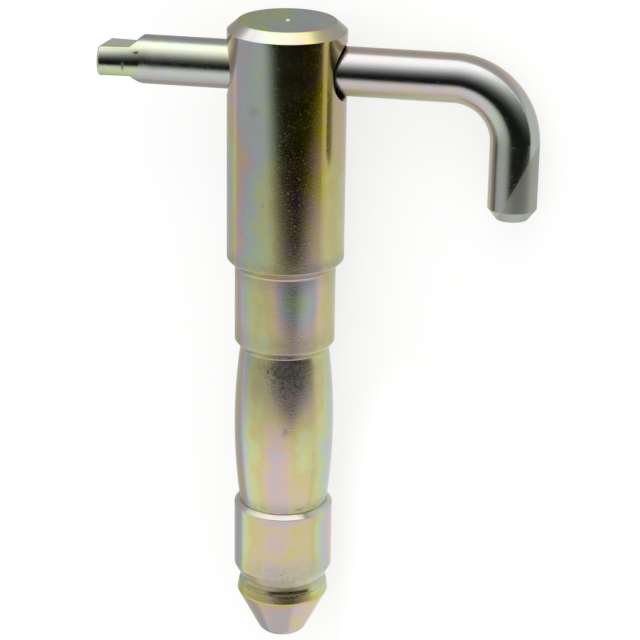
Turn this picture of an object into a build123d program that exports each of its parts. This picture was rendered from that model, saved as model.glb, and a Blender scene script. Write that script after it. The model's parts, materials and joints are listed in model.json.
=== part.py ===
from build123d import *
from math import asin, atan, atan2, cos, degrees, hypot, radians, sin, tan
import os

# A support pin: a turned pin whose head carries a loose round handle bar.
# The assembly is modelled about the pin: the pin's axis is Y with its top face at Y = 0,
# the bar runs along X through the head, and its hook points down the pin towards -Y.
# Last of all, the whole thing is laid on the floor the way it comes to rest.

# ---- Pin: sizes along the axis -----------------------------------------
head_length = 59.6
head_top_chamfer_height = 2.3
land_length = 19.6
land_chamfer_height = 1.9
barrel_length = 42.2
collar_length = 17.9
collar_chamfer_height = 3.1
neck_length = 1.3
flange_height = 3.2
cone_height = 12.2

# ---- Pin: sizes across the axis ----------------------------------------
head_diameter = 29.0
head_top_chamfer_width = 2.65
land_diameter = 25.0
barrel_diameter = 25.0
barrel_end_diameter = 22.1
collar_diameter = 25.0
collar_chamfer_width = 1.6
neck_diameter = 20.6
flange_diameter = 23.4
tip_flat_diameter = 11.0

# ---- Pin: rounded edges -------------------------------------------------
under_head_fillet = 0.8
neck_fillet = 0.6
flange_edge_round = 0.5
tip_round = 3.0
centre_mark_diameter = 2.2
centre_mark_depth = 0.8

# ---- Handle bar ----------------------------------------------------------
bar_diameter = 12.0
bar_clearance = 1.0
hole_depth = 11.9
hole_mouth_chamfer = 0.4
hook_reach = 55.5
hook_length = 33.9
bend_radius = 15.1
hook_end_chamfer_width = 2.1
hook_end_chamfer_height = 2.7
tail_length = 45.6
crimp_thickness = 7.2
crimp_width = 15.2
crimp_flat_length = 7.6
crimp_edge_round = 0.7
crimp_roll = 3.7
seat_gap = 0.05


def pin_stations():
    """Distance below the top face of each change in the turned profile."""
    stations = {"under_head": head_length}
    stations["land_top"] = stations["under_head"] + (head_diameter - land_diameter) / 2
    stations["land_end"] = stations["land_top"] + land_length
    stations["barrel_top"] = stations["land_end"] + land_chamfer_height
    stations["barrel_end"] = stations["barrel_top"] + barrel_length
    stations["collar_end"] = stations["barrel_end"] + collar_length
    stations["neck_top"] = stations["collar_end"] + collar_chamfer_height
    stations["neck_end"] = stations["neck_top"] + neck_length
    stations["flange"] = stations["neck_end"] + flange_height
    stations["tip"] = stations["flange"] + cone_height
    return stations


def collar_shoulder_round():
    """Radius of the quarter round that steps up from the barrel's end to the collar."""
    return (collar_diameter - barrel_end_diameter) / 2


def turned_profile(at):
    """Half section of the pin, with X as the radius and -Y as the distance below the top face."""
    barrel_middle = (at["barrel_top"] + at["barrel_end"]) / 2
    barrel_end_radius = barrel_end_diameter / 2
    neck_radius = neck_diameter / 2
    collar_radius = collar_diameter / 2
    head_radius = head_diameter / 2
    with BuildSketch(Plane.XY) as profile:
        with BuildLine():
            Polyline(
                (0, -centre_mark_depth),
                (centre_mark_diameter / 2, 0),
                (head_radius - head_top_chamfer_width, 0),
                (head_radius, -head_top_chamfer_height),
                (head_radius, -at["under_head"]),
                (land_diameter / 2, -at["land_top"]),
                (land_diameter / 2, -at["land_end"]),
                (barrel_end_radius, -at["barrel_top"]),
            )
            crown = ThreePointArc(
                (barrel_end_radius, -at["barrel_top"]),
                (barrel_diameter / 2, -barrel_middle),
                (barrel_end_radius, -at["barrel_end"]),
            )
            shoulder = JernArc(crown @ 1, (1, 0), collar_shoulder_round(), -90)
            Polyline(
                shoulder @ 1,
                (collar_radius, -at["collar_end"]),
                (collar_radius - collar_chamfer_width, -at["neck_top"]),
                (neck_radius, -at["neck_top"]),
                (neck_radius, -at["neck_end"]),
                (flange_diameter / 2, -at["flange"]),
                (tip_flat_diameter / 2, -at["tip"]),
                (0, -at["tip"]),
                (0, -centre_mark_depth),
            )
        make_face()

        def corner(radius, depth):
            return profile.vertices().sort_by_distance((radius, -depth))[0]

        fillet(corner(land_diameter / 2, at["land_top"]), under_head_fillet)
        fillet(corner(neck_radius, at["neck_end"]), neck_fillet)
        fillet(corner(flange_diameter / 2, at["flange"]), flange_edge_round)
        fillet(corner(tip_flat_diameter / 2, at["tip"]), tip_round)
    return profile.sketch


def pin_body(at):
    """The turned pin with the cross hole for the handle bar through its head."""
    turned = revolve(turned_profile(at), Axis.Y)
    hole_radius = bar_diameter / 2 + bar_clearance
    hole = Pos(Y=-hole_depth) * Cylinder(hole_radius, 2 * head_diameter, rotation=(0, 90, 0))
    drilled = turned - hole
    mouths = [edge for edge in new_edges(turned, hole, combined=drilled) if edge.geom_type != GeomType.LINE]
    return chamfer(mouths, hole_mouth_chamfer)


def crimp_press(ramp):
    """Cutter that presses the tail down to a flat above the axis, with a ramp up to the round bar."""
    spare = bar_diameter
    flat_height = crimp_thickness / 2
    flat_end = crimp_flat_length - tail_length
    ramp_end = flat_end + ramp
    bar_top = bar_diameter / 2
    with BuildSketch(Plane.XY) as side:
        with BuildLine():
            Polyline(
                (-tail_length - spare, flat_height),
                (flat_end, flat_height),
                (ramp_end, bar_top),
                (ramp_end, bar_top + spare),
                (-tail_length - spare, bar_top + spare),
                (-tail_length - spare, flat_height),
            )
        make_face()
    return extrude(side.sketch, amount=2 * spare, both=True)


def crimp_sizes():
    """Height of the 45 degree ramp beside each crimp flat, and where the plain round bar begins."""
    ramp = (bar_diameter - crimp_thickness) / 2
    return ramp, crimp_flat_length + ramp - tail_length


def crimped_end():
    """The bar's tail: pressed between two flats so that its sides bulge wider than the cross hole.

    The flats are rolled a little about the bar, their front edges up.
    """
    bar_radius = bar_diameter / 2
    ramp, round_from = crimp_sizes()
    flare_start = Plane(origin=(round_from, 0, 0), z_dir=(-1, 0, 0), x_dir=(0, 1, 0))
    tail_face = Plane(origin=(-tail_length, 0, 0), z_dir=(-1, 0, 0), x_dir=(0, 1, 0))
    flare = loft([flare_start * Circle(bar_radius), tail_face * Ellipse(bar_radius, crimp_width / 2)])
    upper_press = crimp_press(ramp)
    pressed = flare - upper_press - mirror(upper_press, Plane.XZ)
    rounded = fillet(pressed.faces().sort_by(Axis.X)[0].edges(), crimp_edge_round)
    return Rot(X=-crimp_roll) * rounded


def hooked_bar():
    """The round bar from the crimp through the bend to the hook's chamfered end."""
    bar_radius = bar_diameter / 2
    bend_start = hook_reach - bend_radius
    _, round_from = crimp_sizes()
    with BuildPart() as bar:
        with BuildLine():
            straight = Line((round_from, 0), (bend_start, 0))
            bend = TangentArc(straight @ 1, (hook_reach, -bend_radius), tangent=straight % 1)
            Line(bend @ 1, (hook_reach, -hook_length))
        with BuildSketch(Plane(straight @ 0, z_dir=straight % 0)):
            Circle(bar_radius)
        sweep()
        hook_rim = bar.faces().sort_by(Axis.Y)[0].edges()
        chamfer(hook_rim, length=hook_end_chamfer_height, length2=hook_end_chamfer_width)
    return bar.part


def handle_bar():
    """The whole handle, with its own axis along X and the middle of the head at X = 0."""
    return hooked_bar() + crimped_end()


def resting_angles(at):
    """Pitch of the pin and roll of the whole part when it lies on head, collar and hook."""
    head_radius = head_diameter / 2
    pitch = atan((head_radius - collar_diameter / 2) / (at["collar_end"] - at["under_head"]))
    hole_height = head_radius * cos(pitch) + (at["under_head"] - hole_depth) * sin(pitch)
    drop = (hole_height - bar_diameter / 2) / cos(pitch)
    seat = bar_clearance - seat_gap
    roll = asin(drop / hypot(hook_reach, seat)) - atan2(seat, hook_reach)
    swing = atan(tan(pitch) / cos(roll))
    return degrees(pitch), degrees(roll), degrees(swing)


def laid_down(at):
    """Location that turns the upright model into its resting place on the floor."""
    pitch, roll, _ = resting_angles(at)
    lift = head_diameter / 2 * cos(radians(pitch)) + at["under_head"] * sin(radians(pitch))
    return Pos(Z=lift) * Rot(X=pitch) * Rot(Y=roll)


def build_parts():
    at = pin_stations()
    _, _, swing = resting_angles(at)
    seated = Pos(Y=-hole_depth, Z=seat_gap - bar_clearance) * Rot(X=-swing)
    resting = laid_down(at)
    parts = {
        "pin_body": resting * pin_body(at),
        "handle_bar": resting * seated * handle_bar(),
    }
    bounds = parts["pin_body"].bounding_box().add(parts["handle_bar"].bounding_box())
    centred = Pos(-bounds.center().X, -bounds.center().Y, 0)
    return {node: centred * solid for node, solid in parts.items()}


os.makedirs("parts", exist_ok=True)
for node, solid in build_parts().items():
    export_step(solid, f"parts/{node}.step")
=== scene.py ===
import json
import math

import bmesh
import bpy
import numpy as np
from mathutils import Matrix, Vector


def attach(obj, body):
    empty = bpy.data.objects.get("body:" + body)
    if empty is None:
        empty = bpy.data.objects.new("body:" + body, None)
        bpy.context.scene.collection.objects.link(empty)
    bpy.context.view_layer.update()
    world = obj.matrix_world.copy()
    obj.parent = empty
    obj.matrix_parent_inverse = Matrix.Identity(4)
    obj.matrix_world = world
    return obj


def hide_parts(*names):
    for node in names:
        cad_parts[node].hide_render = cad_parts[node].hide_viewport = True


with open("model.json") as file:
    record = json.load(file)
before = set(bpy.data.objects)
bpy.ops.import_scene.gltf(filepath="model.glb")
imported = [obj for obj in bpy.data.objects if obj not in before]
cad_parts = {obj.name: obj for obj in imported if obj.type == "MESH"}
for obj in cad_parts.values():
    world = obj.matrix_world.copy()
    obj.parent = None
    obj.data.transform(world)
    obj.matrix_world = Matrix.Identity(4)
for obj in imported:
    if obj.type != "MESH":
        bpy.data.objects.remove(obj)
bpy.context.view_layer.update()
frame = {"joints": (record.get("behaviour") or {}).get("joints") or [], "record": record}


# ---- Camera -----------------------------------------------------------------------------------
# The part lies on the floor with its pin nearly along +Y, head first, and the bar across it. It is
# looked at from above, a little from the hook's side and from beyond the head, with a long lens.
MM = 0.001
mounts = {mount["name"]: mount for mount in frame["record"]["mounts"]}
up_pin = Vector(mounts["head_top"]["axis"])
along_bar = Vector(frame["joints"][0]["axis"])
out_front = along_bar.cross(up_pin)
land_middle = Vector(mounts["land"]["pos_m"])
rise_to_top = (Vector(mounts["head_top"]["pos_m"]) - land_middle).dot(up_pin)
top_centre = land_middle + up_pin * rise_to_top

view_turn = math.radians(10.0)
view_height = math.radians(21.16)
view_tilt = math.radians(0.83)
view_distance = 610 * MM
lens_length, sensor_width = 137.35, 36.0
aim_right, aim_down, aim_back = 8.65 * MM, 76.58 * MM, 1.53 * MM


def from_pin(right, up, front):
    """A direction given as right along the bar, up the pin to its head and out of its front."""
    return along_bar * right + up_pin * up + out_front * front


pin_place = Matrix.Translation(top_centre) @ Matrix((along_bar, up_pin, out_front)).transposed().to_4x4()

sight = from_pin(math.sin(view_turn) * math.cos(view_height), math.sin(view_height),
                 math.cos(view_turn) * math.cos(view_height))
level_right = from_pin(math.cos(view_turn), 0, -math.sin(view_turn))
level_up = sight.cross(level_right)
image_right = level_right * math.cos(view_tilt) + level_up * math.sin(view_tilt)
image_up = sight.cross(image_right)

camera_data = bpy.data.cameras.new("camera")
camera_data.lens = lens_length
camera_data.sensor_width = sensor_width
camera_data.clip_start, camera_data.clip_end = 0.01, 50
camera = bpy.data.objects.new("camera", camera_data)
bpy.context.scene.collection.objects.link(camera)
aim = pin_place @ Vector((aim_right, -aim_down, -aim_back))
camera.matrix_world = (Matrix.Translation(aim + sight * view_distance)
                       @ Matrix((image_right, image_up, sight)).transposed().to_4x4())
bpy.context.scene.camera = camera
bpy.context.scene.view_settings.view_transform = "Standard"


# ---- Floor ------------------------------------------------------------------------------------
# A matt white sheet under the part. It glows a little of itself, to the eye and in the metal
# alike, so that it stays pale, and the rest of its light is what falls on it, with the shadow.
# In the metal its glow changes from place to place, painting shade and light into the reflections.
floor_half = 1.5
floor_paint = (0.86, 0.86, 0.85, 1)
floor_white, floor_share = 0.72, 0.42
# Painted shade near the pin's left and just past the head, painted light on its right, at its foot and far
# beyond the head.
shaded_glow_left, glow_far_left = 0.32, 0.52
glow_right, glow_far_right = (0.58, 0.82), (0.44, 0.76)
head_shadow_glow, painted_glow_behind = 0.50, 1.3

# Where the glow changes on the sheet, from and to, in millimetres out from the pin or along it.
glow_out, glow_across = (40, 220), (-35, 20)
glow_down, glow_far_down = (50, -50), (-30, -140)
glow_to_head, glow_to_back = (70, 86), (85, 250)


def add_node(tree, kind, **settings):
    """A new node in the tree, with its properties set."""
    node = tree.nodes.new(kind)
    for name, value in settings.items():
        setattr(node, name, value)
    return node


def feed(tree, socket, value):
    """Gives an input its value, which is a constant or the output that it comes from."""
    if isinstance(value, bpy.types.NodeSocket):
        tree.links.new(value, socket)
    else:
        socket.default_value = value


def calculate(tree, operation, *values):
    """The output of a Math node, fed with the values in order."""
    node = add_node(tree, "ShaderNodeMath", operation=operation)
    for socket, value in zip(node.inputs, values):
        feed(tree, socket, value)
    return node.outputs[0]


def ease(tree, value, start, end):
    """0 before start and 1 after end, eased in and out. Start may be the larger of the two."""
    node = add_node(tree, "ShaderNodeMapRange", interpolation_type="SMOOTHSTEP")
    tree.links.new(value, node.inputs["Value"])
    low, high = min(start, end), max(start, end)
    node.inputs["From Min"].default_value = low
    node.inputs["From Max"].default_value = high
    node.inputs["To Min"].default_value = 0 if start < end else 1
    node.inputs["To Max"].default_value = 1 if start < end else 0
    return node.outputs["Result"]


def painted_floor_glow(tree):
    """The sheet's glow in the metal, painted shade and light: dim left of the pin, brighter on its right,
    most at its foot, dim just past the head and bright far beyond it.
    """
    place = add_node(tree, "ShaderNodeSeparateXYZ")
    tree.links.new(add_node(tree, "ShaderNodeTexCoord").outputs["Object"], place.inputs[0])
    x, y = place.outputs["X"], place.outputs["Y"]

    def over(value, stretch):
        start, end = stretch
        return ease(tree, value, start * MM, end * MM)

    def between(share, first, second):
        node = add_node(tree, "ShaderNodeMix", data_type="FLOAT")
        for socket, value in zip(node.inputs[:1] + node.inputs[2:4], (share, first, second)):
            feed(tree, socket, value)
        return node.outputs[0]

    far = over(calculate(tree, "ABSOLUTE", x), glow_out)
    left = between(far, shaded_glow_left, glow_far_left)
    right = between(far, between(over(y, glow_down), *glow_right),
                    between(over(y, glow_far_down), *glow_far_right))
    glow = between(over(x, glow_across), left, right)
    # Painted shadow of the head on the sheet just past it, and painted light far beyond it.
    head_shadow = between(over(y, glow_to_head), 1, head_shadow_glow)
    behind = calculate(tree, "MULTIPLY", over(y, glow_to_back), painted_glow_behind)
    return calculate(tree, "MULTIPLY_ADD", glow, head_shadow, behind)


def make_floor():
    mesh = bpy.data.meshes.new("floor")
    corners = [(x * floor_half, y * floor_half, 0) for x, y in ((-1, -1), (1, -1), (1, 1), (-1, 1))]
    mesh.from_pydata(corners, [], [(0, 1, 2, 3)])
    floor = bpy.data.objects.new("floor", mesh)
    bpy.context.scene.collection.objects.link(floor)
    paint = bpy.data.materials.new("floor_sheet")
    paint.use_nodes = True
    tree = paint.node_tree
    tree.nodes.clear()
    ray = add_node(tree, "ShaderNodeLightPath")
    seen = calculate(tree, "MAXIMUM", ray.outputs["Is Camera Ray"], ray.outputs["Is Glossy Ray"])
    seen = calculate(tree, "MAXIMUM", seen, ray.outputs["Is Transmission Ray"])
    matt = add_node(tree, "ShaderNodeBsdfDiffuse")
    matt.inputs["Color"].default_value = floor_paint
    glow = add_node(tree, "ShaderNodeEmission")
    shown_white = calculate(tree, "MULTIPLY", ray.outputs["Is Camera Ray"], floor_white)
    tree.links.new(calculate(tree, "MAXIMUM", painted_floor_glow(tree), shown_white), glow.inputs["Strength"])
    dimmed = add_node(tree, "ShaderNodeBsdfDiffuse")
    dimmed.inputs["Color"].default_value = tuple(floor_share * c for c in floor_paint[:3]) + (1,)
    shown = add_node(tree, "ShaderNodeAddShader")
    tree.links.new(glow.outputs[0], shown.inputs[0])
    tree.links.new(dimmed.outputs[0], shown.inputs[1])
    choice = add_node(tree, "ShaderNodeMixShader")
    tree.links.new(seen, choice.inputs[0])
    tree.links.new(matt.outputs[0], choice.inputs[1])
    tree.links.new(shown.outputs[0], choice.inputs[2])
    output = add_node(tree, "ShaderNodeOutputMaterial")
    tree.links.new(choice.outputs[0], output.inputs["Surface"])
    mesh.materials.append(paint)


make_floor()


# ---- Studio light -----------------------------------------------------------------------------
# A round tent of thin pale cloth half a metre from the part, bright overhead where the lamp is,
# with a soft dark opening that the part is looked at through. The opening draws the black bands.
tent_radius, tent_depth = 480 * MM, 76.6 * MM
tent_side, tent_above, tent_below, tent_foot = 0.62, 1.95, 1.16, 0.88
cloth_changes = (
    # height in degrees where a change starts, where it ends, how much brighter
    (8, 74, tent_above - tent_side),
    (-12, -34, tent_below - tent_side),
    (-42, -80, tent_foot - tent_below),
)
opening_dark = (0.011, 0.013, 0.011, 1)
opening_turn, opening_height = 32, 8
opening_left, opening_right, opening_down = 64, 165, 29.5
opening_slant, opening_top = 0.20, (2, 82)
top_slant = 0.3
opening_core, opening_rim = 0.76, 1.20
room_light = 0.75
lamp_distance = 0.9
lamp_width = 0.85
lamp_power = 3.9
lamp_lean = 0.30


def tent_cloth(tree, centre):
    """Brightness of the tent's cloth by its turn round the pin and its height from the middle."""
    place = add_node(tree, "ShaderNodeVectorMath", operation="SUBTRACT")
    tree.links.new(add_node(tree, "ShaderNodeNewGeometry").outputs["Position"], place.inputs[0])
    place.inputs[1].default_value = centre
    direction = add_node(tree, "ShaderNodeVectorMath", operation="NORMALIZE")
    tree.links.new(place.outputs[0], direction.inputs[0])

    def towards(axis):
        node = add_node(tree, "ShaderNodeVectorMath", operation="DOT_PRODUCT")
        tree.links.new(direction.outputs[0], node.inputs[0])
        node.inputs[1].default_value = axis
        return node.outputs["Value"]

    turn = calculate(tree, "DEGREES", calculate(tree, "ARCTAN2", towards(along_bar), towards(out_front)))
    height = calculate(tree, "DEGREES", calculate(tree, "ARCSINE", towards(up_pin)))
    aside = calculate(tree, "SUBTRACT", turn, opening_turn)
    right = calculate(tree, "MAXIMUM", aside, 0)
    across = calculate(tree, "MAXIMUM", calculate(tree, "DIVIDE", aside, -opening_left),
                       calculate(tree, "DIVIDE", right, opening_right))
    sill = calculate(tree, "MULTIPLY_ADD", right, opening_slant, opening_height)
    below = calculate(tree, "MAXIMUM", calculate(tree, "SUBTRACT", sill, height), 0)
    down = calculate(tree, "DIVIDE", below, opening_down)
    reach = calculate(tree, "SQRT", calculate(tree, "MULTIPLY_ADD", across, across,
                                              calculate(tree, "MULTIPLY", down, down)))
    leaning = calculate(tree, "MULTIPLY_ADD", right, top_slant, height)
    closed = calculate(tree, "MAXIMUM", ease(tree, reach, opening_core, opening_rim),
                       ease(tree, leaning, *opening_top))
    cloth = tent_side
    for start, end, change in cloth_changes:
        cloth = calculate(tree, "MULTIPLY_ADD", ease(tree, height, start, end), change, cloth)
    return calculate(tree, "MULTIPLY", cloth, closed)


def make_tent():
    """The tent, which only the metal sees: the lamp and the room's own light pass through it."""
    centre = pin_place @ Vector((0, -tent_depth, 0))
    shape = bmesh.new()
    bmesh.ops.create_icosphere(shape, subdivisions=5, radius=tent_radius, matrix=Matrix.Translation(centre))
    mesh = bpy.data.meshes.new("tent")
    shape.to_mesh(mesh)
    shape.free()
    tent = bpy.data.objects.new("tent", mesh)
    bpy.context.scene.collection.objects.link(tent)
    tent.visible_camera = tent.visible_diffuse = tent.visible_shadow = False
    fabric = bpy.data.materials.new("tent_cloth")
    fabric.use_nodes = True
    tree = fabric.node_tree
    tree.nodes.clear()
    glow = add_node(tree, "ShaderNodeEmission")
    tree.links.new(tent_cloth(tree, centre), glow.inputs["Strength"])
    dark = add_node(tree, "ShaderNodeEmission")
    dark.inputs["Color"].default_value = opening_dark
    both = add_node(tree, "ShaderNodeAddShader")
    tree.links.new(glow.outputs[0], both.inputs[0])
    tree.links.new(dark.outputs[0], both.inputs[1])
    tree.links.new(both.outputs[0], add_node(tree, "ShaderNodeOutputMaterial").inputs["Surface"])
    fabric.cycles.emission_sampling = "NONE"
    mesh.materials.append(fabric)


def light_room():
    """Even light from all round, with white behind everything that the camera sees."""
    world = bpy.data.worlds.new("room")
    world.use_nodes = True
    bpy.context.scene.world = world
    tree = world.node_tree
    ray = add_node(tree, "ShaderNodeLightPath")
    strength = calculate(tree, "MULTIPLY_ADD", ray.outputs["Is Camera Ray"], 1 - room_light, room_light)
    tree.nodes["Background"].inputs["Color"].default_value = (1, 1, 1, 1)
    tree.links.new(strength, tree.nodes["Background"].inputs["Strength"])


def make_lamp():
    """The lamp over the tent. Metal sees it only as the bright cloth below it."""
    data = bpy.data.lights.new("soft_lamp", "AREA")
    data.shape = "SQUARE"
    data.size = lamp_width
    data.energy = lamp_power
    lamp = bpy.data.objects.new("soft_lamp", data)
    bpy.context.scene.collection.objects.link(lamp)
    side = (up_pin + out_front * lamp_lean).normalized()
    lamp.location = top_centre + side * lamp_distance
    lamp.rotation_euler = side.to_track_quat("Z", "Y").to_euler()
    lamp.visible_glossy = False


make_tent()
light_room()
make_lamp()


# ---- Pin --------------------------------------------------------------------------------------
# One bar of steel turned between centres: head, land, crowned barrel, collar, neck and a blunt
# cone. The head is drilled across for the handle, then all of it is zinc plated and passivated.
# Sizes from here on are in millimetres.
head_radius, head_length = 14.5, 59.6
head_chamfer_width, head_chamfer_height = 2.65, 2.3
land_radius, land_length, land_chamfer_height = 12.5, 19.6, 1.9
barrel_end_radius, barrel_length = 11.05, 42.2
collar_length, collar_chamfer_width, collar_chamfer_height = 17.9, 1.6, 3.1
neck_radius, neck_length = 10.3, 1.3
flange_radius, flange_height = 11.7, 3.2
rim_radius, rim_height, rim_lead, rim_lip = 11.25, 0.9, 0.4, 0.2
groove_rise, groove_round = 0.2, 0.8
shoulder_flat, shoulder_height = 0.25, 0.95
tip_flat_radius, cone_height, tip_round = 5.5, 12.2, 3.0
centre_mark_radius, centre_mark_depth = 1.1, 0.8
edge_break, fine_break, lead_break = 0.2, 0.1, 0.15
under_head_fillet, barrel_start_round, flange_round = 0.8, 0.4, 0.9
hole_depth, hole_radius, hole_lip = 11.9, 7.0, 0.45

# How finely the mesh is cut: faces round the pin, degrees of arc a face, and rows of faces.
steps_round = 256
arc_step = 9
shortest_run = 1.2
barrel_rows = 42
window_top, window_bottom, window_rows, window_columns = 3.4, 20.4, 48, 28
window_shares = (0, 0.14, 0.28, 0.42, 0.56, 0.7, 0.82, 0.93, 1)
lip_bends = (18, 36, 54, 72, 90)
bore_rings = 8
weld_distance = 0.0005


def depths_down_pin():
    """Distance below the top face of each change along the pin."""
    down = {"head": head_length}
    down["land"] = down["head"] + head_radius - land_radius
    down["land_end"] = down["land"] + land_length
    down["barrel"] = down["land_end"] + land_chamfer_height
    down["barrel_end"] = down["barrel"] + barrel_length
    down["collar_end"] = down["barrel_end"] + collar_length
    down["neck"] = down["collar_end"] + collar_chamfer_height
    down["neck_end"] = down["neck"] + neck_length
    down["flange"] = down["neck_end"] + flange_height
    down["tip"] = down["flange"] + cone_height
    return down


def crown(depth, down):
    """Radius of the barrel, which swells in one long arc from its ends to its middle."""
    swell, half = land_radius - barrel_end_radius, barrel_length / 2
    arc = (half ** 2 + swell ** 2) / (2 * swell)
    return land_radius - arc + math.sqrt(arc ** 2 - (depth - down["barrel"] - half) ** 2)


def pin_corners(down):
    """Corners of the pin's outline from the top's centre mark to the tip: radius, depth, rounding."""
    window = np.linspace(window_top, window_bottom, window_rows + 1)
    barrel = np.linspace(down["barrel"], down["barrel_end"], barrel_rows + 1)[1:-1]
    return [
        (0, centre_mark_depth, 0),
        (centre_mark_radius, 0, fine_break),
        (head_radius - head_chamfer_width, 0, edge_break),
        (head_radius, head_chamfer_height, edge_break),
        *[(head_radius, depth, 0) for depth in window],
        (head_radius, down["head"], edge_break),
        (land_radius, down["land"], under_head_fillet),
        (land_radius, down["land_end"], edge_break),
        (barrel_end_radius, down["barrel"], barrel_start_round),
        *[(crown(depth, down), depth, 0) for depth in barrel],
        (barrel_end_radius, down["barrel_end"], fine_break),
        (barrel_end_radius + shoulder_flat, down["barrel_end"], fine_break),
        (land_radius, down["barrel_end"] + shoulder_height, lead_break),
        (land_radius, down["collar_end"], edge_break),
        (land_radius - collar_chamfer_width, down["neck"], fine_break),
        (neck_radius, down["neck"], fine_break),
        (neck_radius + groove_rise, down["neck_end"], groove_round),
        (rim_radius - rim_lead, down["neck_end"] + rim_height - rim_lip, lead_break),
        (rim_radius, down["neck_end"] + rim_height, fine_break),
        (flange_radius, down["flange"], flange_round),
        (tip_flat_radius, down["tip"], tip_round),
        (0, down["tip"], 0),
    ]


def round_corner(before, corner, after, radius):
    """Points of the arc that rounds one corner of an outline, or the corner itself if it is sharp."""
    if radius == 0:
        return [corner]
    back, ahead = (before - corner).normalized(), (after - corner).normalized()
    half = back.angle(ahead) / 2
    reach = radius / math.tan(half)
    centre = corner + (back + ahead).normalized() * (radius / math.sin(half))
    first, last = corner + back * reach - centre, corner + ahead * reach - centre
    swing = first.angle(last)
    pieces = max(3, math.ceil(math.degrees(swing) / arc_step))
    return [centre + (first * math.sin(swing * (1 - i / pieces)) + last * math.sin(swing * i / pieces))
            / math.sin(swing) for i in range(pieces + 1)]


def fill_runs(groups, step, guard):
    """One row of points from groups of points, with rows added on each straight run between them."""
    row = list(groups[0])
    for group in groups[1:]:
        start, end = row[-1], group[0]
        run = (end - start).length
        if run > shortest_run:
            inner = np.linspace(guard, run - guard, max(2, math.ceil((run - 2 * guard) / step) + 1))
            row += [start.lerp(end, d / run) for d in inner]
        row += group
    return row


def pin_outline():
    corners = pin_corners(depths_down_pin())
    points = [Vector((radius, -depth)) for radius, depth, _ in corners]
    groups = [[points[0]]]
    for i in range(1, len(points) - 1):
        groups.append(round_corner(points[i - 1], points[i], points[i + 1], corners[i][2]))
    groups.append([points[-1]])
    return fill_runs(groups, step=0.9, guard=0.25)


def lathe_nodes():
    """Geometry Nodes that turn an outline, given as a row of points, into a closed round body."""
    tree = bpy.data.node_groups.new("lathe", "GeometryNodeTree")
    for name, kind in (("Outline", "Geometry"), ("Steps round", "Int"), ("Metal", "Material")):
        tree.interface.new_socket(name, in_out="INPUT", socket_type="NodeSocket" + kind)
    tree.interface.new_socket("Turned", in_out="OUTPUT", socket_type="NodeSocketGeometry")
    given = add_node(tree, "NodeGroupInput").outputs
    count = add_node(tree, "GeometryNodeAttributeDomainSize", component="MESH")
    tree.links.new(given["Outline"], count.inputs[0])
    columns = calculate(tree, "ADD", given["Steps round"], 1)
    grid = add_node(tree, "GeometryNodeMeshGrid")
    tree.links.new(count.outputs["Point Count"], grid.inputs["Vertices X"])
    tree.links.new(columns, grid.inputs["Vertices Y"])
    index = add_node(tree, "GeometryNodeInputIndex").outputs[0]
    row = calculate(tree, "FLOOR", calculate(tree, "DIVIDE", calculate(tree, "ADD", index, 0.5), columns))
    column = calculate(tree, "SUBTRACT", index, calculate(tree, "MULTIPLY", row, columns))
    turn = calculate(tree, "DIVIDE", calculate(tree, "MULTIPLY", column, 2 * math.pi), given["Steps round"])
    place = add_node(tree, "GeometryNodeInputPosition").outputs[0]
    outline = add_node(tree, "GeometryNodeSampleIndex", data_type="FLOAT_VECTOR", domain="POINT")
    tree.links.new(given["Outline"], outline.inputs["Geometry"])
    tree.links.new(place, outline.inputs["Value"])
    tree.links.new(row, outline.inputs["Index"])
    split = add_node(tree, "ShaderNodeSeparateXYZ")
    tree.links.new(outline.outputs["Value"], split.inputs[0])
    turned = add_node(tree, "ShaderNodeCombineXYZ")
    radius = split.outputs["X"]
    tree.links.new(calculate(tree, "MULTIPLY", radius, calculate(tree, "COSINE", turn)), turned.inputs["X"])
    tree.links.new(split.outputs["Y"], turned.inputs["Y"])
    tree.links.new(calculate(tree, "MULTIPLY", radius, calculate(tree, "SINE", turn)), turned.inputs["Z"])
    chain = [
        (add_node(tree, "GeometryNodeSetPosition"), "Position", turned.outputs[0]),
        (add_node(tree, "GeometryNodeMergeByDistance"), "Distance", 1e-7),
        (add_node(tree, "GeometryNodeSetShadeSmooth"), None, None),
        (add_node(tree, "GeometryNodeRealizeInstances"), None, None),
        (add_node(tree, "GeometryNodeSetMaterial"), "Material", given["Metal"]),
    ]
    flow = grid.outputs["Mesh"]
    for node, name, value in chain:
        tree.links.new(flow, node.inputs["Geometry"])
        if name:
            feed(tree, node.inputs[name], value)
        flow = node.outputs["Geometry"]
    tree.links.new(flow, add_node(tree, "NodeGroupOutput").inputs["Turned"])
    return tree


def turned_pin(metal):
    """The pin as it leaves the lathe, standing on its own axis in its own directions."""
    mesh = bpy.data.meshes.new("pin_outline")
    mesh.from_pydata([(p.x * MM, p.y * MM, 0) for p in pin_outline()], [], [])
    blank = bpy.data.objects.new("pin_outline", mesh)
    bpy.context.scene.collection.objects.link(blank)
    tree = lathe_nodes()
    lathe = blank.modifiers.new("lathe", "NODES")
    lathe.node_group = tree
    for name, value in (("Steps round", steps_round), ("Metal", metal)):
        lathe[tree.interface.items_tree[name].identifier] = value
    graph = bpy.context.evaluated_depsgraph_get()
    turned = bpy.data.meshes.new_from_object(blank.evaluated_get(graph))
    turned.materials.clear()
    turned.materials.append(metal)
    turned.polygons.foreach_set("material_index", [0] * len(turned.polygons))
    bpy.data.objects.remove(blank)
    bpy.data.meshes.remove(mesh)
    return turned


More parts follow.
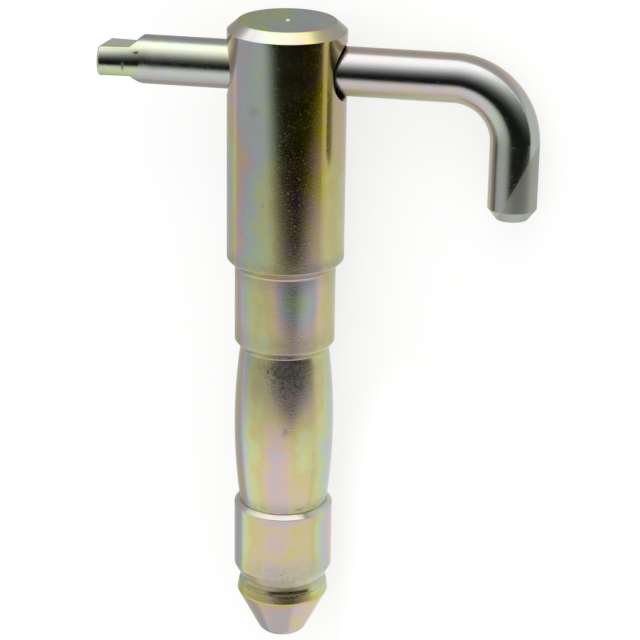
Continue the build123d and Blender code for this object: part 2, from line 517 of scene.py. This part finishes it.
def hole_rings(side):
    """Rings of points from the edge of a window in the head's side, over the lip, to mid bore."""
    turns = 2 * math.pi / steps_round * np.arange(-window_columns, window_columns + 1)
    across = head_radius * np.sin(turns)
    rows = -np.linspace(window_top, window_bottom, window_rows + 1)
    z = np.concatenate([across[:-1], np.full(window_rows, across[-1]),
                        across[:0:-1], np.full(window_rows, across[0])])
    y = np.concatenate([np.full(2 * window_columns, rows[0]), rows[:-1],
                        np.full(2 * window_columns, rows[-1]), rows[:0:-1]])
    way = np.arctan2(y + hole_depth, z)
    rim_z, rim_y = np.cos(way), np.sin(way)
    rings = []
    for share in window_shares:
        reach = hole_radius + hole_lip
        ring_z = z + (rim_z * reach - z) * share
        ring_y = y + (rim_y * reach - hole_depth - y) * share
        rings.append((np.sqrt(head_radius ** 2 - ring_z ** 2), ring_y, ring_z))
    for bend in np.radians(lip_bends):
        reach = hole_radius + hole_lip * (1 - math.sin(bend))
        ring_z = rim_z * reach
        inward = hole_lip * (1 - math.cos(bend))
        rings.append((np.sqrt(head_radius ** 2 - ring_z ** 2) - inward, rim_y * reach - hole_depth, ring_z))
    mouth_x, bore_y, bore_z = rings[-1]
    for share in np.linspace(1, 0, bore_rings + 1)[1:]:
        rings.append((mouth_x * share, bore_y, bore_z))
    return [np.column_stack((side * x, ring_y, ring_z)) * MM for x, ring_y, ring_z in rings]


def add_rings(shape, rings):
    """Joins rings of points, each as long as the next, with a band of four-sided faces."""
    made = [[shape.verts.new(point) for point in ring] for ring in rings]
    for near, far in zip(made, made[1:]):
        for i in range(len(near)):
            j = (i + 1) % len(near)
            face = shape.faces.new((near[i], near[j], far[j], far[i]))
            face.smooth = True
    return made


def drill_head(mesh):
    """Takes a window out of each side of the turned head and puts in the cross hole with its lips."""
    shape = bmesh.new()
    shape.from_mesh(mesh)
    half_width = head_radius * math.sin(2 * math.pi / steps_round * window_columns) * MM

    def in_window(face):
        middle = face.calc_center_median()
        on_side = abs(middle.z) < half_width and abs(middle.x) > half_width
        return on_side and -window_bottom * MM < middle.y < -window_top * MM

    bmesh.ops.delete(shape, geom=[face for face in shape.faces if in_window(face)], context="FACES")
    for side in (-1, 1):
        add_rings(shape, hole_rings(side))
    bmesh.ops.remove_doubles(shape, verts=shape.verts, dist=weld_distance * MM)
    bmesh.ops.recalc_face_normals(shape, faces=shape.faces)
    shape.to_mesh(mesh)
    shape.free()


def points_of(mesh):
    """The mesh's points as rows of x, y and z in millimetres."""
    flat = np.empty(3 * len(mesh.vertices))
    mesh.vertices.foreach_get("co", flat)
    return flat.reshape(-1, 3) / MM


def store_finish(mesh, **layers):
    """Keeps what the finish is like at each point of a mesh, one number a layer."""
    for name, values in layers.items():
        layer = mesh.attributes.new(name, "FLOAT", "POINT")
        layer.data.foreach_set("value", values.astype(np.float32))


# The film's colours run round and round as it thickens. Down the pin, each zone gives the side
# where the film is thickest, its thickness there and how fast it falls off to each side.
film_zones = (
    # depth, side it peaks on, peak, fall, lean
    (0, 60, 1.20, 0.72, 0),
    (22, 60, 1.20, 0.72, 0),
    (38, 26, 1.17, 1.20, 0.50),
    (59, 26, 1.17, 1.20, 0.50),
    (61.5, 18, 1.27, 1.15, 0.50),
    (82, 18, 1.27, 1.15, 0.50),
    (84, 8, 1.22, 1.35, 0.47),
    (124, 8, 1.22, 1.35, 0.47),
    (127, 5, 1.20, 1.23, 0),
    (145, 5, 1.20, 1.23, 0),
    (147, 10, 1.08, 0.42, 0),
    (149, 10, 1.08, 0.42, 0),
    (151, 15, 1.28, 0.30, 0),
    (163, 15, 1.28, 0.30, 0),
)
# The top face's haze dulls its gloss and darkens its colour as painted shade.
top_film, top_film_fall, top_haze = 0.62, 0.34, 0.35
film_stains = (
    # turn from the front, depth, half turn, half depth, extra thickness
    (45, 18, 12, 22, -0.21),
    (25, 68, 26, 5, 0.52),
    (24, 77.5, 30, 3.2, -0.15),
    (30, 108, 12, 6, -0.28),
    (-46, 117, 6, 4, -0.35),
    (30, 87, 60, 3, 0.12),
    (45, 92, 22, 6, 0.20),
    (14, 119, 26, 6, 0.13),
    (20, 127.3, 60, 1, 0.20),
    (-25, 139, 6, 2, 0.15),
    (58, 139, 8, 2.5, 0.20),
    (-35, 58, 15, 2, 0.30),
    (-25, 160, 15, 3, 0.25),
    (0, 150.8, 400, 0.9, -0.16),
)
rich_places = (
    # turn from the front, depth, half turn, half depth, extra depth of colour
    (36, 18, 20, 26, 0.70),
    (0, 150.2, 400, 1.3, 0.35),
    (0, 125.9, 400, 0.5, -0.75),
    (25, 142, 45, 4, -0.35),
    (0, 0, 400, 0.15, 0.80),
    (0, 1.2, 400, 1.3, -0.65),
)
# Places where the zinc turns scuffed grey and grimy: dull bands and nicks, and painted shade on the barrel's
# top under the land and in the neck's groove.
worn_places = (
    # turn from the front, depth, half turn, half depth, how much wear and painted shade
    (0, 58.5, 400, 1.6, 0.66),
    (0, 62.6, 400, 1.6, 0.50),
    (0, 79.0, 400, 2.4, 0.50),
    # Painted shade: the dark mottled patch on the barrel's top, just under the land.
    (15, 89.5, 38, 6.5, 1.06),
    (10, 85.4, 62, 2.0, 0.50),
    (0, 124.1, 400, 1.6, 0.74),
    (15, 142, 54, 4.0, 0.68),
    # Painted shade in the neck's groove.
    (0, 147.0, 400, 0.8, 0.75),
    (8, 149.7, 46, 0.7, 0.80),
    (-22, 19.3, 6, 1.2, 0.80),
    (-12, 42, 2, 0.7, 0.95),
    (12, 102, 3, 1.1, 0.90),
)


def turn_and_depth(points):
    """Degrees round the pin from its front, and distance below its top face."""
    x, y, z = points.T
    return np.degrees(np.arctan2(x, z)), -y


def patches(points, places, power):
    """The sum of soft-edged patches on the pin. The power is 2 for a soft one and more for a flatter one."""
    turn, depth = turn_and_depth(points)
    total = np.zeros_like(depth)
    for at_turn, at_depth, half_turn, half_depth, amount in places:
        across = np.abs((turn - at_turn) / half_turn) ** power
        total += amount * np.exp(-across - np.abs((depth - at_depth) / half_depth) ** power)
    return total


def on_top_face(points):
    """True on the flat top of the head, and False from its rounded edge down."""
    return points[:, 1] > -0.3 * edge_break


def pin_film(points):
    """Thickness of the film, which runs from side to side on the top face and by zones below it."""
    turn, depth = turn_and_depth(points)
    zone_depths, *zone_values = np.array(film_zones).T
    side, peak, fall, lean = (np.interp(depth, zone_depths, values) for values in zone_values)
    off = np.radians(turn - side)
    film = peak - (1 - np.cos(off)) * (fall - lean * np.sin(off)) + patches(points, film_stains, 2)
    across = points[:, 0] / head_radius
    return np.where(on_top_face(points), top_film - top_film_fall * across, film)


def pin_haze(points):
    """How hazy the finish is, which is dull on the top face alone. There the haze also darkens the colour as
    painted shade.
    """
    return np.where(on_top_face(points), top_haze, 0.0)


bare_zinc = (0.51, 0.505, 0.485, 1)
# Scuffed zinc and grime are worn colours and also the colours of painted shade.
scuffed_and_shaded_zinc = (0.25, 0.26, 0.225, 1)
# Hazed zinc is painted shade on the head's top face and under the bar, and a dull finish on the hook's leg
# and tip.
hazed_zinc = (0.36, 0.38, 0.32, 1)
grime_and_shade = (0.06, 0.068, 0.05, 1)
scuffed_and_shaded_share, hazed_share, grime_and_shade_share = 0.6, 0.7, 0.8
film_colours = (
    # thickness, colour
    (0.00, (0.50, 0.455, 0.21)),
    (0.14, (0.54, 0.44, 0.28)),
    (0.28, (0.52, 0.405, 0.385)),
    (0.42, (0.455, 0.42, 0.45)),
    (0.56, (0.41, 0.47, 0.465)),
    (0.70, (0.43, 0.51, 0.36)),
    (0.86, (0.51, 0.525, 0.26)),
    (1.00, (0.50, 0.455, 0.21)),
)

# The finish's marks. Scales are in cycles a metre, and the relief's height is in millimetres.
streak_stretch = (190, 30, 190)
cloud_scale, cloud_depth = 180, 0.62
ragged_scale, ragged_swing, ragged_middle = 900, 1.4, 0.85
speck_scale = 2300
grime_and_shade_from, grime_and_shade_to = 0.66, 1.02
mark_worn, mark_plain = 0.5, 0.12
pit_worn, pit_plain = 2.2, 1.2
dent_from, dent_to, dent_depth = 0.12, 0.24, -1.0
gloss_scale, gloss_swing, plain_rough = 300, 0.10, 0.12
grime_and_shade_rough, worn_rough, hazed_rough = 0.25, 0.22, 0.40
relief_height, relief_strength = 0.02, 0.5


def passivation_nodes():
    """Shader group for the film on the zinc: its colour, with painted shade from its wear and haze layers,
    its gloss and the height of its marks.
    """
    tree = bpy.data.node_groups.new("passivation", "ShaderNodeTree")
    wanted = (("Place", "Vector"), ("Film", "Float"), ("Rich", "Float"), ("Worn", "Float"),
              ("Haze", "Float"), ("Mark scale", "Vector"), ("Streaks", "Float"))
    for name, kind in wanted:
        tree.interface.new_socket(name, in_out="INPUT", socket_type="NodeSocket" + kind)
    for name, kind in (("Colour", "Color"), ("Roughness", "Float"), ("Height", "Float")):
        tree.interface.new_socket(name, in_out="OUTPUT", socket_type="NodeSocket" + kind)
    given = add_node(tree, "NodeGroupInput").outputs
    taken = add_node(tree, "NodeGroupOutput").inputs

    def noise(scale, detail, drawn_out=None):
        place = given["Place"]
        if drawn_out is not None:
            node = add_node(tree, "ShaderNodeVectorMath", operation="MULTIPLY")
            tree.links.new(place, node.inputs[0])
            feed(tree, node.inputs[1], drawn_out)
            place = node.outputs[0]
        texture = add_node(tree, "ShaderNodeTexNoise")
        texture.inputs["Scale"].default_value = scale
        texture.inputs["Detail"].default_value = detail
        tree.links.new(place, texture.inputs["Vector"])
        return calculate(tree, "SUBTRACT", texture.outputs["Fac"], 0.5)

    streaks = calculate(tree, "MULTIPLY", noise(1, 2, streak_stretch), given["Streaks"])
    clouds = calculate(tree, "MULTIPLY", noise(cloud_scale, 4), cloud_depth)
    film = calculate(tree, "ADD", calculate(tree, "ADD", given["Film"], streaks), clouds)
    colours = add_node(tree, "ShaderNodeValToRGB")
    ramp = colours.color_ramp
    while len(ramp.elements) < len(film_colours):
        ramp.elements.new(0.5)
    for element, (at, colour) in zip(ramp.elements, film_colours):
        element.position = at
        element.color = (*colour, 1)
    tree.links.new(calculate(tree, "FRACT", film), colours.inputs[0])

    def mixed(share, first, second):
        node = add_node(tree, "ShaderNodeMix", data_type="RGBA", clamp_factor=False)
        for socket, value in zip(node.inputs[:1] + node.inputs[6:8], (share, first, second)):
            feed(tree, socket, value)
        return node.outputs[2]

    # This layer holds real wear and also painted shade, which the scuffed grey and the grime paint.
    ragged = calculate(tree, "MULTIPLY_ADD", noise(ragged_scale, 4), ragged_swing, ragged_middle)
    worn = calculate(tree, "MULTIPLY", given["Worn"], ragged)
    specks = noise(speck_scale, 3)
    soiled_and_shaded = ease(tree, calculate(tree, "ADD", specks, worn), grime_and_shade_from, grime_and_shade_to)
    colour = mixed(given["Rich"], bare_zinc, colours.outputs["Color"])
    colour = mixed(calculate(tree, "MULTIPLY", given["Haze"], hazed_share), colour, hazed_zinc)
    colour = mixed(calculate(tree, "MULTIPLY", worn, scuffed_and_shaded_share), colour, scuffed_and_shaded_zinc)
    tree.links.new(mixed(calculate(tree, "MULTIPLY", soiled_and_shaded, grime_and_shade_share), colour, grime_and_shade), taken["Colour"])
    marks = calculate(tree, "MULTIPLY", noise(1, 2, given["Mark scale"]),
                      calculate(tree, "MULTIPLY_ADD", worn, mark_worn, mark_plain))
    pits = calculate(tree, "MULTIPLY", specks, calculate(tree, "MULTIPLY_ADD", worn, pit_worn, pit_plain))
    dents = calculate(tree, "MULTIPLY", ease(tree, specks, dent_from, dent_to), dent_depth)
    relief = calculate(tree, "ADD", calculate(tree, "ADD", marks, pits), dents)
    tree.links.new(relief, taken["Height"])
    rough = calculate(tree, "MULTIPLY_ADD", noise(gloss_scale, 3), gloss_swing, plain_rough)
    for amount, share in ((soiled_and_shaded, grime_and_shade_rough), (worn, worn_rough), (given["Haze"], hazed_rough)):
        rough = calculate(tree, "MULTIPLY_ADD", amount, share, rough)
    tree.links.new(rough, taken["Roughness"])
    return tree


def steel(name, place, mark_scale, streaks):
    """Zinc plated steel whose place, as the nodes that give it, is known in the piece's own directions."""
    metal = bpy.data.materials.new(name)
    metal.use_nodes = True
    tree = metal.node_tree
    shader = tree.nodes["Principled BSDF"]
    shader.inputs["Metallic"].default_value = 1.0
    finish = add_node(tree, "ShaderNodeGroup", node_tree=passivation)
    tree.links.new(place(tree), finish.inputs["Place"])
    for layer in ("film", "rich", "worn", "haze"):
        kept = add_node(tree, "ShaderNodeAttribute", attribute_name=layer)
        tree.links.new(kept.outputs["Fac"], finish.inputs[layer.capitalize()])
    finish.inputs["Mark scale"].default_value = mark_scale
    finish.inputs["Streaks"].default_value = streaks
    tree.links.new(finish.outputs["Colour"], shader.inputs["Base Color"])
    tree.links.new(finish.outputs["Roughness"], shader.inputs["Roughness"])
    bump = add_node(tree, "ShaderNodeBump")
    bump.inputs["Distance"].default_value = relief_height * MM
    bump.inputs["Strength"].default_value = relief_strength
    tree.links.new(finish.outputs["Height"], bump.inputs["Height"])
    tree.links.new(bump.outputs["Normal"], shader.inputs["Normal"])
    return metal


def place_on_pin(tree):
    """Object coordinates brought to the pin's own axis and directions."""
    mapping = add_node(tree, "ShaderNodeMapping", vector_type="TEXTURE")
    mapping.inputs["Location"].default_value = top_centre
    mapping.inputs["Rotation"].default_value = pin_place.to_euler()
    coordinates = add_node(tree, "ShaderNodeTexCoord")
    tree.links.new(coordinates.outputs["Object"], mapping.inputs["Vector"])
    return mapping.outputs[0]


def add_piece(name, mesh, body, node):
    """Puts a finished mesh in the scene in the stead of its CAD node."""
    piece = bpy.data.objects.new(name, mesh)
    bpy.context.scene.collection.objects.link(piece)
    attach(piece, body)
    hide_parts(node)


passivation = passivation_nodes()
pin_steel = steel("pin_steel", place_on_pin, (60, 2600, 60), 0.7)
pin_mesh = turned_pin(pin_steel)
drill_head(pin_mesh)
pin_points = points_of(pin_mesh)
store_finish(pin_mesh, film=pin_film(pin_points), rich=1 + patches(pin_points, rich_places, 4),
             worn=patches(pin_points, worn_places, 2), haze=pin_haze(pin_points))
pin_mesh.transform(pin_place)
add_piece("turned_pin", pin_mesh, "pin", "pin_body")


# ---- Handle bar -------------------------------------------------------------------------------
# A length of drawn 12 mm round bar, loose in the head's hole and plated with it. One end is bent
# down into a hook with a chamfered tip; the other is pressed flat so that it can't pull out.
# As drawn, it measures a hair under its nominal size.
bar_radius, bar_clearance, seat_gap = 5.99, 1.0, 0.05
hook_reach, hook_length, bend_radius = 55.5, 33.9, 15.1
hook_chamfer_width, hook_chamfer_height, hook_edge_round = 2.1, 2.7, 0.3
tail_length, crimp_thickness, crimp_width, crimp_flat_length = 45.6, 7.2, 15.2, 7.6
crimp_roll, crimp_end_round, press_edge = math.radians(3.7), 0.7, 0.12
bend_start = hook_reach - bend_radius
bend_end = bend_start + bend_radius * math.pi / 2
hook_tip = bend_end + hook_length - bend_radius

# How finely the mesh is cut: faces round the bar, rows of faces along it, and rings on its ends.
bar_steps_round = 144
crimp_rows, shaft_rows, bend_rows, crimp_overrun = 59, 40, 56, 1
end_face_shares = (0.03, 0.3, 0.6)
end_round_bends = (0, 15, 30, 45, 60, 75, 90)
tip_ring = 0.2


def soft_min(value, limit, edge):
    """The smaller of value and limit, with the corner between them rounded over about the edge."""
    return limit - edge * np.logaddexp(0, (limit - value) / edge)


def crimp_section(circle, from_tail, inset=0.0):
    """One ring of the crimp, or a smaller one for its end: distance along the bar, up and front."""
    ramp = bar_radius - crimp_thickness / 2
    flare = max(0.0, 1 - from_tail / (crimp_flat_length + ramp))
    front_size = bar_radius + (crimp_width / 2 - bar_radius) * flare
    limit = crimp_thickness / 2 + max(0.0, from_tail - crimp_flat_length)
    up = bar_radius * circle[0]
    up = np.sign(up) * soft_min(np.abs(up), limit, press_edge) * (1 - inset / min(limit, bar_radius))
    front = circle[1] * (front_size - inset)
    rolled_up = up * math.cos(crimp_roll) + front * math.sin(crimp_roll)
    rolled_front = front * math.cos(crimp_roll) - up * math.sin(crimp_roll)
    return np.column_stack((np.full_like(up, from_tail - tail_length), rolled_up, rolled_front))


def hook_outline():
    """Radius and distance along the bar of each plain ring, from the straight shaft to the tip."""
    tip = [Vector((bar_radius, bend_end)), Vector((bar_radius, hook_tip - hook_chamfer_height)),
           Vector((bar_radius - hook_chamfer_width, hook_tip)), Vector((tip_ring, hook_tip))]
    groups = [[tip[0]], round_corner(*tip[:3], hook_edge_round),
              round_corner(*tip[1:], hook_edge_round), [tip[3]]]
    leg = fill_runs(groups, step=1.0, guard=0.25)
    shaft = np.linspace(crimp_flat_length + bar_radius - tail_length, bend_start, shaft_rows)
    bend = np.linspace(bend_start, bend_end, bend_rows + 1)[1:-1]
    return [(bar_radius, along) for along in (*shaft, *bend)] + [tuple(point) for point in leg]


def straight_bar():
    """Rings of points on the bar before it is bent, from the middle of its tail to the hook's tip."""
    turns = np.linspace(0, 2 * math.pi, bar_steps_round, endpoint=False)
    circle = np.cos(turns), np.sin(turns)
    deepest = crimp_thickness / 2
    rings = [crimp_section(circle, 0.0, deepest * (1 - share)) for share in end_face_shares]
    for lift in np.radians(end_round_bends):
        inset = crimp_end_round * (1 - math.sin(lift))
        rings.append(crimp_section(circle, crimp_end_round * (1 - math.cos(lift)), inset))
    crimp_end = crimp_flat_length + bar_radius - deepest + crimp_overrun
    rings += [crimp_section(circle, d) for d in np.linspace(crimp_end_round, crimp_end, crimp_rows + 1)[1:]]
    for radius, distance in hook_outline():
        rings.append(np.column_stack((np.full_like(turns, distance), radius * circle[0], radius * circle[1])))
    return np.array(rings)


def bent(points):
    """Carries points of the straight bar, as distance along, up and front, round the hook's bend."""
    along, up, front = points.T
    turn = np.clip(along - bend_start, 0, bend_radius * math.pi / 2) / bend_radius
    on_leg = np.maximum(along - bend_end, 0)
    x = np.minimum(along, bend_start) + (bend_radius + up) * np.sin(turn)
    y = (bend_radius + up) * np.cos(turn) - bend_radius - on_leg
    return np.column_stack((x, y, front))


def bar_shape():
    """The bar's mesh in its own directions, and its points as they were on the straight bar."""
    rings = straight_bar()
    count = bar_steps_round
    straight = np.concatenate([rings.reshape(-1, 3), [(-tail_length, 0, 0), (hook_tip, 0, 0)]])
    faces = []
    for ring in range(len(rings) - 1):
        near, far = ring * count, (ring + 1) * count
        faces += [(near + i, near + (i + 1) % count, far + (i + 1) % count, far + i) for i in range(count)]
    last, tail, tip = (len(rings) - 1) * count, len(straight) - 2, len(straight) - 1
    faces += [(i, tail, (i + 1) % count) for i in range(count)]
    faces += [(last + i, last + (i + 1) % count, tip) for i in range(count)]
    mesh = bpy.data.meshes.new("hooked_bar")
    mesh.from_pydata((bent(straight) * MM).tolist(), [], faces)
    shape = bmesh.new()
    shape.from_mesh(mesh)
    bmesh.ops.recalc_face_normals(shape, faces=shape.faces)
    for face in shape.faces:
        face.smooth = True
    shape.to_mesh(mesh)
    shape.free()
    return mesh, straight


# How the finish changes over the bar. Places along it count from the middle of the head.
crimp_middle = -42
film_front, film_fall, film_side = 0.76, 0.75, math.radians(20)
film_by_head, by_head_middle, by_head_half = -0.26, 28, 24
film_under_crimp, under_crimp_half = 0.21, 7
rich_bar, rich_under, rich_under_crimp = 0.4, 0.4, 0.6
rich_flat, rich_flat_half = 0.6, 6
rich_ridge, ridge_height = 0.4, 5.0
worn_flat, worn_flat_half = 0.4, 5
worn_crease = 1.3
press_creases = (
    # along, up, half along, half up
    (-36.3, 2.7, 1.2, 0.5),
    (-39.4, -0.4, 0.32, 1.2),
)
# The haze underneath darkens the bar's underside as painted shade.
haze_tip, haze_under, haze_leg = 0.8, 0.3, 0.4
tide_height, tide_slope = 7.4, 1.98
leg_streak_up, leg_streak_half, leg_streak_lead = -1.9, 0.8, 3


def stretch(along, middle, half):
    """1 along a stretch of the bar about its middle, falling away to 0 past its ends."""
    return np.exp(-((along - middle) / half) ** 4)


def soft_step(value, width):
    """0 well below zero and 1 well above it, changing over about the width."""
    return 1 / (1 + np.exp(np.clip(-value / width, -60, 60)))


def underneath(up):
    """0 on the upper part of the bar and 1 below it."""
    return soft_step(-1.0 - up, 0.5)


def on_crimp_flat(up):
    """True at the height of the crimp's upper flat."""
    return up > 0.9 * crimp_thickness / 2


def bar_film(straight):
    """Sage on the front, pink above and below and right of the head, and olive under the crimp."""
    along, up, front = straight.T
    off = np.arctan2(up, front) - film_side
    film = film_front - film_fall * (1 - np.cos(off))
    film += film_by_head * stretch(along, by_head_middle, by_head_half)
    return film + film_under_crimp * stretch(along, crimp_middle, under_crimp_half) * underneath(up)


def bar_rich(straight):
    """Depth of the film's colour: more underneath, along the top and on the crimp than in front."""
    along, up, _ = straight.T
    crimped = stretch(along, crimp_middle, rich_flat_half)
    rich = rich_bar + underneath(up) * (rich_under + rich_under_crimp * crimped)
    return rich + rich_flat * crimped * on_crimp_flat(up) + rich_ridge * soft_step(up - ridge_height, 0.2)


def bar_worn(straight):
    """The crimp's flats, rubbed dull by the press, and the two creases that it left in front."""
    along, up, front = straight.T
    flats = worn_flat * stretch(along, crimp_middle, worn_flat_half) * on_crimp_flat(up)
    creases = np.zeros_like(up)
    for at_along, at_up, half_along, half_up in press_creases:
        creases += np.exp(-((along - at_along) / half_along) ** 2 - ((up - at_up) / half_up) ** 2)
    return flats + worn_crease * creases * (front > 0)


def bar_haze(straight):
    """Painted shade underneath as a dull haze, a dull streak down the leg, and the tip up to the bath's
    slanting tide mark.
    """
    along, up, front = straight.T
    past_mark = along + tide_slope * up + tide_height - hook_tip
    tip = haze_tip * soft_step(past_mark, 0.25)
    down_leg = np.clip((along - bend_end) / leg_streak_lead, 0, 1)
    leg = haze_leg * np.exp(-((up - leg_streak_up) / leg_streak_half) ** 2) * (front > 0) * down_leg
    return np.maximum(tip, np.maximum(leg, haze_under * underneath(up)))


def place_on_bar(tree):
    """Each point's place on the straight bar, with Y along it, as kept in the mesh."""
    return add_node(tree, "ShaderNodeAttribute", attribute_name="unbent").outputs["Vector"]


hook_down = along_bar.cross(Vector((0, 0, 1))).normalized()
bar_axes = (along_bar, -hook_down, -along_bar.cross(hook_down))
bar_middle = top_centre - (up_pin * hole_depth + out_front * (bar_clearance - seat_gap)) * MM
bar_place = Matrix.Translation(bar_middle) @ Matrix(bar_axes).transposed().to_4x4()

bar_mesh, straight_points = bar_shape()
store_finish(bar_mesh, film=bar_film(straight_points), rich=bar_rich(straight_points),
             worn=bar_worn(straight_points), haze=bar_haze(straight_points))
unbent = bar_mesh.attributes.new("unbent", "FLOAT_VECTOR", "POINT")
unbent.data.foreach_set("vector", (straight_points[:, [1, 0, 2]] * MM).astype(np.float32).ravel())
bar_mesh.materials.append(steel("bar_steel", place_on_bar, (2600, 60, 2600), 0.3))
bar_mesh.transform(bar_place)
add_piece("hooked_bar", bar_mesh, "handle", "handle_bar")
